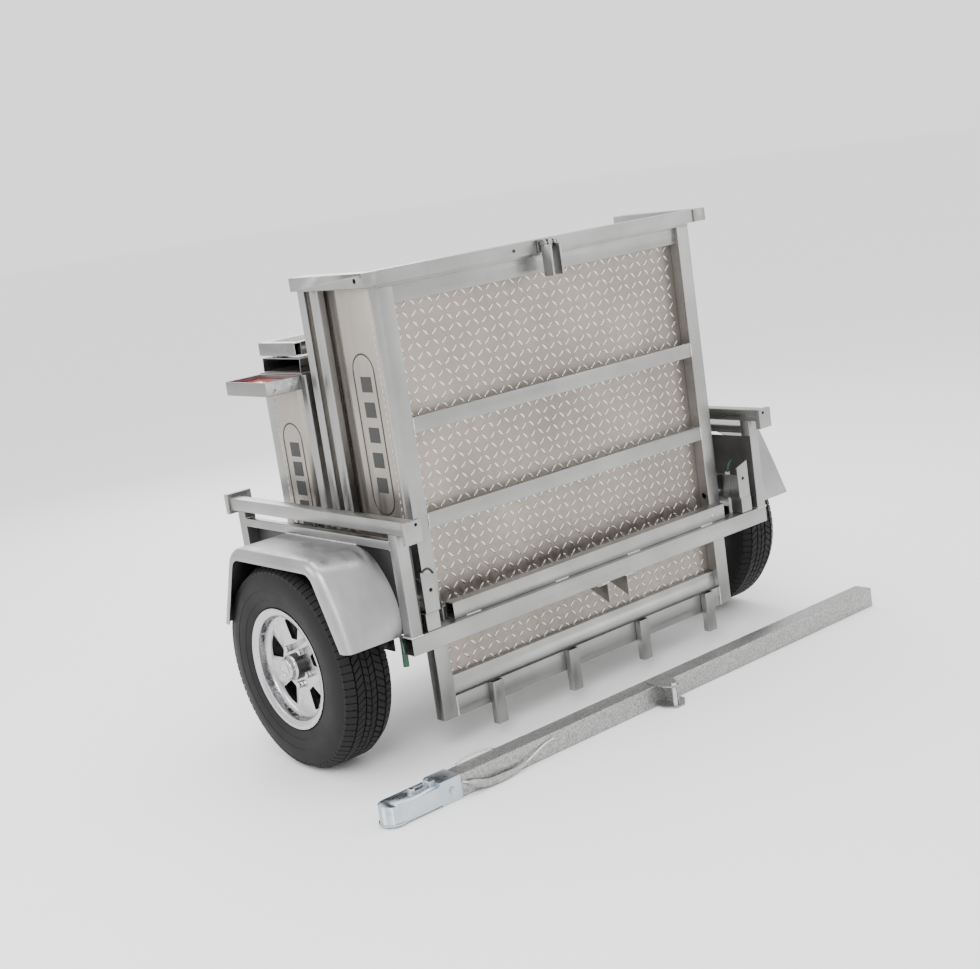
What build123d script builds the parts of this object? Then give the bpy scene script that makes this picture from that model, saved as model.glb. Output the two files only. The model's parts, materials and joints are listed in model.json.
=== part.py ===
from build123d import *
import os
from math import atan2, degrees, hypot, radians, tan

# Folding utility trailer, stored upright: two bed halves stand on edge between two sprung wheels,
# and the drawbar lies in front. Millimetres. +X runs across the trailer, +Y to its rear, +Z up.
# Modelled about the axle line on the ground, then moved so that the origin is the base centre.

# ---- wheels ----
TYRE_R = 305.0
TYRE_HALF_W = 86.0
BEAD_R = 165.0
FLANGE_R = 181.0
RIM_HALF_W = 72.0
RIM_LIP = 6.0          # how far the polished outer lip stands past the flange
DISC_BACK, DISC_FACE = RIM_HALF_W - 50, RIM_HALF_W - 36
SPOKES = 5
STUD_R = 6.5
STUD_CIRCLE = 114.3
SPINDLE_R = 15.0
BEARING_R = 26.0
HUB_R = 38.0
RUN = 0.05             # radial clearance of a running fit
GAP = 0.3              # clearance between pieces that do not carry each other

# ---- sections ----
CROSS_TUBE = 51.0      # cross tubes under the bed
POST = 38.0            # side frame tubes
LOWER_RAIL = 25.0
FRAME_D = 38.0         # depth of the deck frames
FRAME_W = 51.0         # width of their long side tubes
WALL = 3.0             # tube wall
SHEET = 2.5
DECK_T = 3.0
BOLSTER_D = 38.0
BOLSTER_H = 48.0
PIN_R = 10.0

# ---- chassis ----
BED_HALF_W = 610.0
CHASSIS_HALF_W = BED_HALF_W + 125
CHASSIS_HALF_L = TYRE_R + 107
SILL_OUT = CHASSIS_HALF_W - 13
TRACK_HALF = SILL_OUT + 12 + TYRE_HALF_W
CROSS_Z = TYRE_R + 51  # underside of the cross tubes
CROSS_TOP = CROSS_Z + CROSS_TUBE
BOLSTER_HALF = BED_HALF_W - 46
FENDER_TOP = 2 * TYRE_R + 43
LOWER_RAIL_Z = FENDER_TOP + LOWER_RAIL
TOP_RAIL_Z = LOWER_RAIL_Z + 58
RAIL_HALF_L = CHASSIS_HALF_L + 35
PAD_T = 3.0
BLOCK_T = 20.0
BLOCK_H = 63.0

# ---- fenders ----
FENDER_OUT = TRACK_HALF + TYRE_HALF_W + 10
FENDER_SHIFT = -35.0
FENDER_HALF_TOP = TYRE_R - 83
FENDER_HALF_FOOT = TYRE_R + 25
FENDER_FOOT_Z = CROSS_TOP + 1
FENDER_BEND = 75.0
FENDER_LIP = 22.0

# ---- bed halves ----
DECK_LIFT = 2.0        # clearance over the bolsters when a half lies flat
END_GAP = 3.5          # between the two halves when both lie flat
PIVOT_Z = CROSS_TOP + BOLSTER_H + DECK_LIFT + FRAME_D / 2
FRONT_FACE = CHASSIS_HALF_L - 83
REAR_FACE = CHASSIS_HALF_L - 72
FRONT_PIN = FRONT_FACE - FRAME_D / 2
REAR_PIN = REAR_FACE - FRAME_D / 2 + 0.5
FRONT_SHORT, FRONT_LONG = 368.0, 870.0
REAR_SHORT, REAR_LONG = FRONT_PIN + REAR_PIN - FRONT_SHORT - END_GAP, 628.0
FRONT_FOOT, FRONT_HEAD = PIVOT_Z - FRONT_SHORT, PIVOT_Z + FRONT_LONG
REAR_FOOT, REAR_HEAD = PIVOT_Z - REAR_SHORT, PIVOT_Z + REAR_LONG
FRONT_WALL_D = 396.0   # height of the side walls above the deck's outer face
REAR_WALL_D = 242.0
FRONT_SKIN_D = 204.0   # height of the flat sheet, up to the recess
REAR_SKIN_D = 180.0
WALL_FOOT = PIVOT_Z + RAIL_HALF_L + PAD_T + BLOCK_T + 4 - FRONT_PIN
RECESS = 24.0          # depth of the recess between the sheet and the wall's rails
MEMBER_H = 39.0
MEMBER_PITCH = 272.0
FIRST_MEMBER = PIVOT_Z + 498
SOLE_H = 61.0
FINGER = 38.0
FINGER_D = 25.0
FINGER_PITCH = 302.0
FINGER_OFFSET = 32.0
FINGER_REACH = 62.0
END_FRAME_H = 39.0
CLEVIS_X = -14.0
CLEVIS_PIN_R = 5.0

# ---- drawbar ----
BAR = 63.5
BAR_WALL = 4.8
BAR_FACE = CHASSIS_HALF_L + 171
BAR_END = 1017.0       # both ends of the drawbar from the middle
COUPLER_L = 244.0
SLEEVE_L = 70.0
BALL_R = 25.4
BALL_CLEAR = 0.4
LATCH_PIN_R = 3.0
BRACKET_REACH = 65.0
BRACKET_T = 5.0
BRACKET_PIN_R = 7.0
RECEIVER_X = 41.0
CABLE_R = 3.0
COVER_R = 11.0
WIRE_R = 3.5

FRONT_MOST = -(BAR_FACE + BRACKET_REACH)
REAR_MOST = RAIL_HALF_L + PAD_T + BLOCK_T
Y_SHIFT = -(FRONT_MOST + REAR_MOST) / 2


# ---- helpers ----
def block(x0, x1, y0, y1, z0, z1):
    """A box between two corners."""
    size = (abs(x1 - x0), abs(y1 - y0), abs(z1 - z0))
    return Pos((x0 + x1) / 2, (y0 + y1) / 2, (z0 + z1) / 2) * Box(*size)


def tube(x0, x1, y0, y1, z0, z1, along, wall=WALL):
    """A square tube between two corners, open at both ends along one axis."""
    wx, wy, wz = (-1 if axis == along else wall for axis in "xyz")
    core = block(x0 + wx, x1 - wx, y0 + wy, y1 - wy, z0 + wz, z1 - wz)
    return block(x0, x1, y0, y1, z0, z1) - core


def rod(r, length, x, y, z, axis="x"):
    """A cylinder that starts at a point and runs along +axis."""
    turn = {"x": Rot(0, 90, 0), "y": Rot(-90, 0, 0), "z": Rot(0, 0, 0)}[axis]
    return Pos(x, y, z) * turn * Pos(0, 0, length / 2) * Cylinder(r, length)


def prism_x(points, x0, x1):
    """An outline in (y, z) stretched from x0 to x1."""
    return Pos(x0, 0, 0) * Plane.YZ.location * extrude(make_face(Polyline(*points, close=True)), x1 - x0)


def prism_y(points, y0, y1):
    """An outline in (x, z) stretched from y0 to y1."""
    return Pos(0, y1, 0) * Plane.XZ.location * extrude(make_face(Polyline(*points, close=True)), y1 - y0)


def prism_z(points, z0, z1):
    """An outline in (x, y) stretched from z0 to z1."""
    return Pos(0, 0, z0) * extrude(make_face(Polyline(*points, close=True)), z1 - z0)


def flipped(shape, across="x"):
    return mirror(shape, about=Plane.YZ if across == "x" else Plane.XZ)


def both(shape, across="x"):
    return [shape, flipped(shape, across)]


def four(shape):
    return [s for half in both(shape, "x") for s in both(half, "y")]


nodes = {}


def put(name, *shapes):
    """Keeps the separate solids of one node."""
    for shape in shapes:
        for item in shape if isinstance(shape, (list, tuple)) else [shape]:
            nodes.setdefault(name, []).extend(item.solids())


# ---- chassis ----
def chassis():
    """Two cross tubes with a bolster on each, joined by a welded frame outside each wheel arch."""
    front = -CHASSIS_HALF_L
    rail_in = CHASSIS_HALF_W - POST
    cross = tube(-CHASSIS_HALF_W, CHASSIS_HALF_W, front, front + CROSS_TUBE, CROSS_Z, CROSS_TOP, "x")
    put("cross_tubes", both(cross, "y"))
    bolster_y = -FRONT_FACE - 21
    bolster = tube(
        -BOLSTER_HALF, BOLSTER_HALF, bolster_y - BOLSTER_D, bolster_y, CROSS_TOP, CROSS_TOP + BOLSTER_H, "x",
    )
    put("bolsters", both(bolster, "y"))

    sill = tube(SILL_OUT - POST, SILL_OUT, front + POST, -front - POST, CROSS_TOP, CROSS_TOP + POST, "y")
    lower_in, lower_z = CHASSIS_HALF_W - LOWER_RAIL, LOWER_RAIL_Z - LOWER_RAIL
    lower = tube(lower_in, CHASSIS_HALF_W, front + POST, -front - POST, lower_z, LOWER_RAIL_Z, "y", 2.0)
    put("side_rails", both(sill), both(lower))
    top_z = TOP_RAIL_Z - POST
    post = tube(rail_in, CHASSIS_HALF_W, front, front + POST, CROSS_TOP, top_z, "z")
    put("side_posts", four(post))
    top = tube(rail_in, CHASSIS_HALF_W, -RAIL_HALF_L, RAIL_HALF_L, top_z, TOP_RAIL_Z, "y")
    put("top_rails", both(top))
    liner = block(rail_in - SHEET, rail_in, front, -front, CROSS_TOP + POST, lower_z - 5)
    put("side_liners", both(liner))
    put("fenders", both(fender()))


def rail_ends():
    """A thin pad and a drilled block that close each end of both top rails."""
    rail_in = CHASSIS_HALF_W - POST
    pad_end = RAIL_HALF_L + PAD_T
    pad = block(rail_in, CHASSIS_HALF_W, RAIL_HALF_L, pad_end, TOP_RAIL_Z - POST, TOP_RAIL_Z)
    put("rail_end_blocks", four(pad))
    hole_x = CHASSIS_HALF_W - 30
    for way, inner, rise, hole_z in ((-1, 48, 2, BLOCK_H - 12), (1, 80, 13, BLOCK_H / 2)):
        z0 = TOP_RAIL_Z - BLOCK_H + rise
        end = block(CHASSIS_HALF_W - inner, CHASSIS_HALF_W + 7, pad_end, pad_end + BLOCK_T, z0, z0 + BLOCK_H)
        end -= rod(5, BLOCK_T + 2, hole_x, pad_end - 1, z0 + hole_z, "y")
        put("rail_end_blocks", both(end if way > 0 else flipped(end, "y")))


def fender():
    """A sheet arch over the right wheel with its outer edge rolled down."""
    def arch(inset, x0, x1):
        foot, top = FENDER_HALF_FOOT - inset, FENDER_HALF_TOP - inset * 0.6
        path = FilletPolyline(
            (FENDER_SHIFT - foot, FENDER_FOOT_Z),
            (FENDER_SHIFT - top, FENDER_TOP - inset),
            (FENDER_SHIFT + top, FENDER_TOP - inset),
            (FENDER_SHIFT + foot, FENDER_FOOT_Z),
            radius=FENDER_BEND - inset,
        )
        outline = make_face(Wire([*path.edges(), Line(path @ 1, path @ 0)]))
        return Pos(x0, 0, 0) * Plane.YZ.location * extrude(outline, x1 - x0)

    shell = arch(0, SILL_OUT, FENDER_OUT) - arch(SHEET, SILL_OUT - 1, FENDER_OUT + 1)
    lip = arch(SHEET, FENDER_OUT - SHEET, FENDER_OUT) - arch(FENDER_LIP, FENDER_OUT - 20, FENDER_OUT + 1)
    cut = block(0, FENDER_OUT + 10, -CHASSIS_HALF_L, CHASSIS_HALF_L, 0, FENDER_FOOT_Z + 0.01)
    return shell + lip - cut


def pivots():
    """The stands beside the bed that carry the pins both bed halves turn on."""
    front = -CHASSIS_HALF_L + 4
    stand_in, stand_out = BED_HALF_W + 18, BED_HALF_W + 65
    leg_x = BED_HALF_W + 12
    foot_z, head_z = CROSS_TOP + CROSS_TUBE, PIVOT_Z + 99
    stand = tube(stand_in, stand_out, front, front + 47, CROSS_TOP, foot_z, "z")
    outline = [(leg_x, foot_z), (stand_out - 3, foot_z), (stand_out - 3, head_z), (leg_x, head_z - 16)]
    for way, pin_y in ((-1, -FRONT_PIN), (1, -REAR_PIN)):
        plate = prism_y(outline, front, front + 5)
        leg = block(leg_x, leg_x + 5, front + 5, pin_y + 26, foot_z, head_z - 40)
        bracket = plate + leg
        bracket -= rod(PIN_R + RUN, 40, leg_x - 20, pin_y, PIVOT_Z)
        bracket -= rod(6, 40, BED_HALF_W + 35, front - 20, PIVOT_Z + 44, "y")
        pin_in = BED_HALF_W - 38
        pin = rod(PIN_R, leg_x + 5 - pin_in, pin_in, pin_y, PIVOT_Z) + rod(16, 8, leg_x + 5, pin_y, PIVOT_Z)
        parts = {"pivot_stands": stand, "pivot_brackets": bracket, "pivot_pins": pin}
        for name, shape in parts.items():
            put(name, both(shape if way < 0 else flipped(shape, "y")))


def receiver():
    """Two angles under the front cross tube that the drawbar's tail slides between."""
    front, half = -CHASSIS_HALF_L, BAR / 2 + 7.25
    web = [(front, CROSS_Z), (front, CROSS_Z - 66), (front + 100, CROSS_Z - 20), (front + 100, CROSS_Z)]
    for way in (-1, 1):
        x = RECEIVER_X + way * half
        leg = prism_x(web, x, x + 5) if way > 0 else prism_x(web, x - 5, x)
        flange = block(x + 5 * way, x + 45 * way, front, front + 26, CROSS_Z - 5, CROSS_Z)
        put("drawbar_receiver", leg + flange)


def suspension():
    """A trailing arm each side, hung from a bracket under the sill and held up by a rubber spring."""
    pivot_y, pivot_z = -150.0, CROSS_Z - 16
    x_in, x_out = SILL_OUT - 76, SILL_OUT - 6
    bolt_r, ear, plate_z = 8.0, 5.0, CROSS_TOP - 6
    middle = (x_in + x_out) / 2
    bracket = block(x_in, SILL_OUT, pivot_y - 50, 60, plate_z, CROSS_TOP)
    for x in (x_in, x_out - ear):
        bracket += block(x, x + ear, pivot_y - 42, pivot_y + 42, pivot_z - 30, plate_z)
    bracket -= rod(bolt_r + RUN, 200, x_in - 50, pivot_y, pivot_z)
    bolt = rod(bolt_r, x_out - x_in + 4, x_in - 2, pivot_y, pivot_z)
    bolt += rod(13, 6, x_in - 8, pivot_y, pivot_z)
    put("suspension_brackets", both(bracket))
    put("pivot_pins", both(bolt))

    seat_z = TYRE_R + 30
    spring = Pos(middle, 4, (plate_z + seat_z + GAP) / 2) * Cone(15, 23, plate_z - seat_z - GAP)
    put("rubber_springs", both(spring))

    beam_in, beam_out = x_in + 8, x_out - 8
    beam_l = hypot(pivot_y, pivot_z - TYRE_R)
    tilt = degrees(atan2(TYRE_R - pivot_z, -pivot_y))
    beam = block(beam_in, beam_out, 0, beam_l + 24, -18, 18) + rod(24, beam_out - beam_in, beam_in, 0, 0)
    arm = Pos(0, pivot_y, pivot_z) * Rot(tilt, 0, 0) * beam
    arm += block(beam_in, beam_out, -22, 28, TYRE_R, seat_z)
    arm -= rod(bolt_r + RUN, 200, x_in - 50, pivot_y, pivot_z)
    arm += rod(SPINDLE_R, TRACK_HALF + 45 - beam_out + 4, beam_out - 4, 0, TYRE_R)
    arm += rod(22, 8, TRACK_HALF + 45, 0, TYRE_R)
    put("right_trailing_arm", arm)
    put("left_trailing_arm", flipped(arm))


# ---- wheels ----
def ring(profile):
    """Turns an outline of (outboard distance, radius) about the axle of the right wheel."""
    body = revolve(make_face(Polyline(*profile, close=True)), Axis.X)
    return Pos(TRACK_HALF, 0, TYRE_R) * body


def tyre():
    w, r = TYRE_HALF_W, TYRE_R
    bead = RIM_HALF_W - 1.5 - GAP
    tread = [(w - 46, r), (w - 24, r - 4), (w - 12, r - 18)]
    wall = [(w, r - 62), (w - 3, r - 90), (bead, FLANGE_R + 2)]
    foot = [(bead, BEAD_R + GAP), (bead - 18, BEAD_R + GAP), (bead - 16, BEAD_R + 14)]
    inside = [(w - 14, r - 88), (w - 12, r - 62), (w - 26, r - 26)]
    half = tread + wall + foot + inside
    return ring(half + [(-u, v) for u, v in reversed(half)])


def rim():
    """A barrel with a polished outer lip and a disc of five spokes."""
    f, seat = RIM_HALF_W, BEAD_R - 1
    drop, skin = BEAD_R - 15, 6.0
    shape = ring([
        (-f, FLANGE_R), (1.5 - f, FLANGE_R), (1.5 - f, BEAD_R), (26 - f, seat), (34 - f, drop),
        (f - 42, drop), (f - 30, seat), (f - 1.5, BEAD_R), (f - 1.5, FLANGE_R), (f + RIM_LIP, FLANGE_R),
        (f + RIM_LIP, FLANGE_R - 6), (f - 2, seat - skin), (f - 28, seat - skin - 2), (f - 38, drop - skin),
        (32 - f, drop - skin), (22 - f, seat - skin), (-f, seat - skin + 2),
    ])
    disc_r = drop - 2
    bore = HUB_R + GAP
    shape += ring([(DISC_BACK, bore), (DISC_FACE, bore), (DISC_FACE, disc_r), (DISC_BACK, disc_r)])
    window = prism_x(
        [(-14, 78), (14, 78), (36, disc_r - 16), (12, disc_r - 9), (-12, disc_r - 9), (-36, disc_r - 16)],
        DISC_BACK - 5, DISC_FACE + 5,
    )
    for k in range(SPOKES):
        turn = 360 / SPOKES * k
        shape -= Pos(TRACK_HALF, 0, TYRE_R) * Rot(turn, 0, 0) * window
        shape -= lug_place(k) * rod(STUD_R + 1.5, 40, DISC_BACK - 5, 0, 0)
    return shape


def lug_place(k):
    """Where the k-th wheel stud stands, midway between two windows."""
    return Pos(TRACK_HALF, 0, TYRE_R) * Rot(360 / SPOKES * (k + 0.5), 0, 0) * Pos(0, 0, STUD_CIRCLE / 2)


def wheel():
    """The pieces of the right wheel, by node name."""
    end, bore, inner = RIM_HALF_W - 10, BEARING_R + RUN, SPINDLE_R + RUN
    hub = ring([
        (-55, bore), (-55, HUB_R), (DISC_BACK - 12, HUB_R), (DISC_BACK - 12, 70), (DISC_BACK, 70),
        (DISC_BACK, HUB_R), (end, HUB_R), (end, bore),
    ])
    races = [ring([(u, inner), (u + 16, inner), (u + 16, BEARING_R), (u, BEARING_R)]) for u in (-42, 24)]
    tip = end + 20
    cap = ring([
        (end, 0), (end, HUB_R - 1), (end + 4, 32), (tip - 3, 31), (tip, 28), (tip, 22), (tip - 2, 20),
        (tip - 2, 0),
    ])
    nuts = []
    for k in range(SPOKES):
        nut = Pos(DISC_FACE, 0, 0) * Plane.YZ.location * extrude(RegularPolygon(11, 6), 16)
        nuts.append(lug_place(k) * (nut + rod(STUD_R, DISC_FACE - DISC_BACK, DISC_BACK, 0, 0)))
    return {
        "tyre": [tyre()], "rim": [rim()], "hub": [hub], "bearings": races, "hub_cap": [cap], "lug_nuts": nuts,
    }


# ---- bed halves ----
class Half:
    """One half of the bed on edge; way is -1 for the front half. Depths run in from its deck face."""

    def __init__(self, way, face):
        self.way, self.face = way, face

    def y(self, depth):
        return self.way * (self.face - depth)

    def span(self, d0, d1):
        return sorted((self.y(d0), self.y(d1)))

    def slab(self, x0, x1, d0, d1, z0, z1):
        return block(x0, x1, *self.span(d0, d1), z0, z1)

    def bar(self, x0, x1, d0, d1, z0, z1, along, wall=WALL):
        return tube(x0, x1, *self.span(d0, d1), z0, z1, along, wall)


def bed_half(name, half, pin_y, foot, head, members):
    """The welded deck frame and its plate."""
    inner = BED_HALF_W - FRAME_W
    post = half.bar(inner, BED_HALF_W, 0, FRAME_D, foot, head, "z")
    post -= rod(PIN_R + RUN, FRAME_W + 20, inner - 10, pin_y, PIVOT_Z)
    put(f"{name}_posts", both(post))
    rails = []
    for k in range(members):
        z1 = FIRST_MEMBER - k * MEMBER_PITCH
        lip = half.slab(-inner, inner, 0, 4, z1 - 1, z1 + 6)
        rails.append(half.bar(-inner, inner, 0, FRAME_D, z1 - MEMBER_H, z1, "x") + lip)
    rails.append(half.bar(-inner, inner, 12, FRAME_D, head - CROSS_TUBE, head, "x"))
    sole = half.bar(-inner, inner, 0, FRAME_D, foot, foot + SOLE_H, "x")
    rails.append(sole + half.slab(-inner, inner, 18, FRAME_D, foot + SOLE_H - 1, foot + SOLE_H + 54))
    put(f"{name}_cross_members", rails)
    edge = BED_HALF_W - SHEET
    plate = half.slab(-edge, edge, FRAME_D, FRAME_D + DECK_T, foot, head)
    put(f"{name}_deck_plate", plate)


def side_walls(name, half, head, wall_d, skin_d, rails):
    """A sheet each side that steps in to a recess, closed by rounded upright rails."""
    out, rec, t = BED_HALF_W, BED_HALF_W - RECESS, SHEET
    low, bend, foot, top = (half.y(d) for d in (FRAME_D, skin_d, skin_d + 8, wall_d))
    back = half.way * t / 2
    skin = [
        (out, low), (out, bend), (rec, foot), (rec, top),
        (rec - t, top), (rec - t, foot + back), (out - t, bend + back), (out - t, low),
    ]
    put(f"{name}_side_walls", both(prism_z(skin, WALL_FOOT, head)))
    for d0, d1 in rails:
        cap = half.bar(rec, out + 2, d0, d1, WALL_FOOT, head, "z", 2.0)
        corners = [e for e in cap.edges().filter_by(Axis.Z) if abs(e.center().X - out - 2) < 0.1]
        put(f"{name}_wall_rails", both(fillet(corners, 6)))


def front_bed():
    """The longer half, with the fingers that reach under the rear half and the end frame."""
    half, d = Half(-1, FRONT_FACE), FRONT_WALL_D
    bed_half("front_bed", half, -FRONT_PIN, FRONT_FOOT, FRONT_HEAD, 3)
    side_walls("front_bed", half, FRONT_HEAD, d, FRONT_SKIN_D, ((d - 103, d - 62), (d - 33, d)))
    for k in range(4):
        x = FINGER_OFFSET + (k - 1.5) * FINGER_PITCH
        low, high = FRONT_FOOT - FINGER_REACH, FRONT_FOOT + SOLE_H + 5
        put("front_bed_fingers", half.bar(x - FINGER / 2, x + FINGER / 2, -FINGER_D, 0, low, high, "z"))

    z0 = FRONT_HEAD + 8
    z1 = z0 + END_FRAME_H
    arm_in, arm_out = BED_HALF_W + 8, BED_HALF_W + 59
    head = half.bar(-arm_in, arm_in, -21, 17, z0, z1, "x")
    arm = half.bar(arm_in, arm_out, -21, FRONT_FACE + 7, z0, z1, "y")
    arm -= rod(7, FRAME_W + 10, arm_in - 5, half.y(15), (z0 + z1) / 2)
    cap = half.slab(arm_in, arm_out, -24, -21, z0, z1)
    put("front_end_frame", head, both(arm), both(cap))
    lid = half.slab(-BED_HALF_W, BED_HALF_W, 0, d, FRONT_HEAD, FRONT_HEAD + 3)
    rib = half.bar(-BED_HALF_W, BED_HALF_W, 0, FRAME_D, FRONT_HEAD + 3, z0, "x", 1.5)
    put("front_end_wall", lid, rib)


def clevis():
    """Two ears that hang from a pin in front of the front end frame, and the plate that holds it."""
    x, face = CLEVIS_X, -FRONT_FACE - 21
    pin_y, pin_z = face - 16, FRONT_HEAD + 34
    hole = rod(CLEVIS_PIN_R + RUN, 80, x - 40, pin_y, pin_z)
    base = block(x - 30, x + 30, face - 4, face, FRONT_HEAD + 10, FRONT_HEAD + 45)
    lug = block(x - 7, x + 7, face - 26, face - 4, FRONT_HEAD + 22, FRONT_HEAD + 45)
    pin = rod(CLEVIS_PIN_R, 56, x - 28, pin_y, pin_z) + rod(8, 4, x + 28, pin_y, pin_z)
    put("clevis_bracket", base + lug - hole, pin)
    for way in (-1, 1):
        middle = x + way * 18.5
        ear = block(middle - 4, middle + 4, pin_y - 30, pin_y + 8, pin_z - 94, pin_z - 4)
        ear += rod(11, 8, middle - 4, pin_y, pin_z)
        put("clevis_ears", ear - hole)


def rear_bed():
    """The shorter half, with its ledge, sill and end frame, and a tail lamp in a guard each side."""
    half, w, d = Half(1, REAR_FACE), BED_HALF_W, REAR_WALL_D
    bed_half("rear_bed", half, REAR_PIN, REAR_FOOT, REAR_HEAD, 2)
    side_walls("rear_bed", half, REAR_HEAD, d, REAR_SKIN_D, ((d - 33, d),))
    y_in, y_out = half.y(d - 20), half.y(10)
    put("rear_end_ledge", block(-w - 4, w + 4, y_in - 10, REAR_FACE, REAR_HEAD, REAR_HEAD + 5))
    z0, z1 = REAR_HEAD + 5, REAR_HEAD + 49
    channel = prism_x([(y_out - 10, z1), (y_out - 6, z0), (y_in, z0), (y_in - 6, z1)], -w, w)
    core = [(y_out - 13, z1 - 3), (y_out - 9, z0 + 3), (y_in + 3, z0 + 3), (y_in - 3, z1 - 3)]
    put("rear_end_sill", channel - prism_x(core, -w - 1, w + 1))
    low, high = z1 + 6, z1 + 45
    side_bar = tube(w - 25, w, y_in + 14, y_out, low, high, "y", 2.5)
    front_bar = tube(25 - w, w - 25, y_in + 14, y_in + 39, low, high, "x", 2.5)
    back_bar = tube(25 - w, w - 25, y_out - 25, y_out, low, high, "x", 2.5)
    foot = block(w - 32, w - 2, y_out - 120, y_out - 90, z1, low)
    put("rear_end_frame", both(side_bar), front_bar, back_bar, both(foot))
    lamps(y_in, REAR_FACE + 5)


def lamps(y0, y1):
    """A lamp in an open guard outside each side wall; the lens faces the trailer's rear when it is flat."""
    x0, x1, t = BED_HALF_W + 2 + GAP, BED_HALF_W + 125, 3.0
    z0, z1 = REAR_HEAD - 42, REAR_HEAD
    guard = block(x0, x1, y0, y1, z0, z1) - block(x0 + t, x1 - t, y0 + t, y1 - t, z0 - 1, z1 + 1)
    put("lamp_guards", both(guard))
    put("tail_lamps", both(block(x0 + t, x1 - t, y0 + t, y1 - t, z0, z0 + 22)))
    inset = t + 6
    put("tail_lamp_lenses", both(block(x0 + inset, x1 - inset, y0 + inset, y1 - inset, z0 + 22, z0 + 30)))


# ---- drawbar ----
def drawbar():
    """The square bar on the ground ahead of the trailer, with the bolt through its coupler."""
    y0, y1 = -BAR_FACE, -BAR_FACE + BAR
    joint, skin = COUPLER_L - BAR_END, 4.0
    bolt_x, bolt_z = joint - 30, 34.0
    hole = rod(6 + RUN, BAR + 120, bolt_x, y0 - 60, bolt_z, "y")
    put("drawbar_tube", tube(joint - 60, BAR_END, y0, y1, 0, BAR, "x", BAR_WALL) - hole)
    bolt = rod(6, BAR + 2 * skin + 10, bolt_x, y0 - skin - 5, bolt_z, "y")
    bolt += rod(10, 6, bolt_x, y0 - skin - 6, bolt_z, "y") + rod(10, 8, bolt_x, y1 + skin, bolt_z, "y")
    put("coupler_fittings", bolt)
    coupler(joint - SLEEVE_L, joint, (y0 + y1) / 2, skin, hole)


def coupler(rear, joint, mid, skin, hole):
    """A sleeve on the bar, a neck and a domed nose over the ball socket, with a clamp and a latch."""
    nose_x, nose_r, low, top = 40 - BAR_END, 36.0, 6.0, 58.0
    half = BAR / 2 + skin
    sleeve = block(rear, joint, mid - half, mid + half, 0, BAR + skin)
    sleeve -= block(rear + skin, joint + 1, mid - BAR / 2 - GAP, mid + BAR / 2 + GAP, -1, BAR + GAP)
    neck = [(rear + 1, mid - half), (nose_x, mid - nose_r), (nose_x, mid + nose_r), (rear + 1, mid + half)]
    nose = Pos(nose_x, mid, (low + top) / 2) * Cylinder(nose_r, top - low)
    lip = Pos(nose_x, mid, low + 2) * Cylinder(nose_r + 4, 4)
    socket_r = BALL_R + BALL_CLEAR
    ball_z = low + 19
    socket = rod(socket_r, ball_z - low + 1, nose_x, mid, low - 1, "z")
    socket += Pos(nose_x, mid, ball_z) * Sphere(socket_r)
    roof = top - 8
    hollow = block(nose_x + 40, rear, mid - 27, mid + 27, low - 1, roof)
    slot = block(nose_x, nose_x + 41, mid - 14, mid + 14, low - 1, roof)

    pivot_x, pivot_z = rear - 9, top + 8
    ears = [block(pivot_x - 8, pivot_x + 8, mid + y, mid + y + 4, top - 1, pivot_z + 8) for y in (-16, 12)]
    body = sleeve + prism_z(neck, low, top) + nose + lip - hollow - slot - socket + ears[0] + ears[1]
    body -= rod(LATCH_PIN_R, 60, pivot_x, mid - 30, pivot_z, "y")
    put("coupler_body", body - hole, rod(LATCH_PIN_R - RUN, 34, pivot_x, mid - 17, pivot_z, "y"))
    jaw = [(nose_x + 28, 14), (nose_x + 50, 14), (nose_x + 58, roof - GAP), (nose_x + 32, roof - GAP)]
    put("coupler_fittings", prism_y(jaw, mid - 13.5, mid + 13.5))

    plate = block(pivot_x - 58, pivot_x, mid - 9, mid + 9, top + GAP, top + 5)
    grip = block(pivot_x - 64, pivot_x - 52, mid - 9, mid + 9, top + GAP, top + 14)
    latch = plate + grip + rod(6, 22, pivot_x, mid - 11, pivot_z, "y")
    put("coupler_latch", latch - rod(LATCH_PIN_R + RUN, 40, pivot_x, mid - 20, pivot_z, "y"))


def drawbar_bracket():
    """Two plates and a web on the front of the bar, and the loose pin that joins them to the clevis."""
    y0, t = -BAR_FACE, BRACKET_T
    front, back, waist = y0 - BRACKET_REACH, y0 + BAR - 30, y0 - 30
    low = prism_z([(-26, y0), (-26, waist), (-8, front), (26, front), (62, waist), (62, y0)], 0, t)
    high = prism_z([(-26, back), (-26, waist), (-8, front), (12, front), (52, y0), (52, back)], BAR, BAR + t)
    web = block(10, 16, front + 10, y0, t, BAR)
    pin_x, pin_y = -1.0, front + 12
    hole = rod(BRACKET_PIN_R + RUN, 200, pin_x, pin_y, -50, "z")
    put("drawbar_bracket", low + high + web - hole)
    pin = rod(BRACKET_PIN_R, BAR + t + 7, pin_x, pin_y, 0, "z")
    put("bracket_pin", pin + rod(10, 8, pin_x, pin_y, BAR + t + GAP, "z"))


# ---- cords ----
def cable(points, r):
    """A tube of straight runs joined by tangent arcs; each arc is as large as its two runs allow."""
    pts = [Vector(*p) for p in points]
    radii = []
    for a, b, c in zip(pts, pts[1:], pts[2:]):
        turn = radians((b - a).get_angle(c - b))
        radii.append(0.45 * min((b - a).length, (c - b).length) / tan(turn / 2))
    path = FilletPolyline(*pts, radius=radii)
    print("cord", round(path.length, 1), "long, radii", [round(v) for v in radii])
    start = Plane(origin=path @ 0, z_dir=path % 0)
    return sweep(start * Circle(r), path=path)


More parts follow.
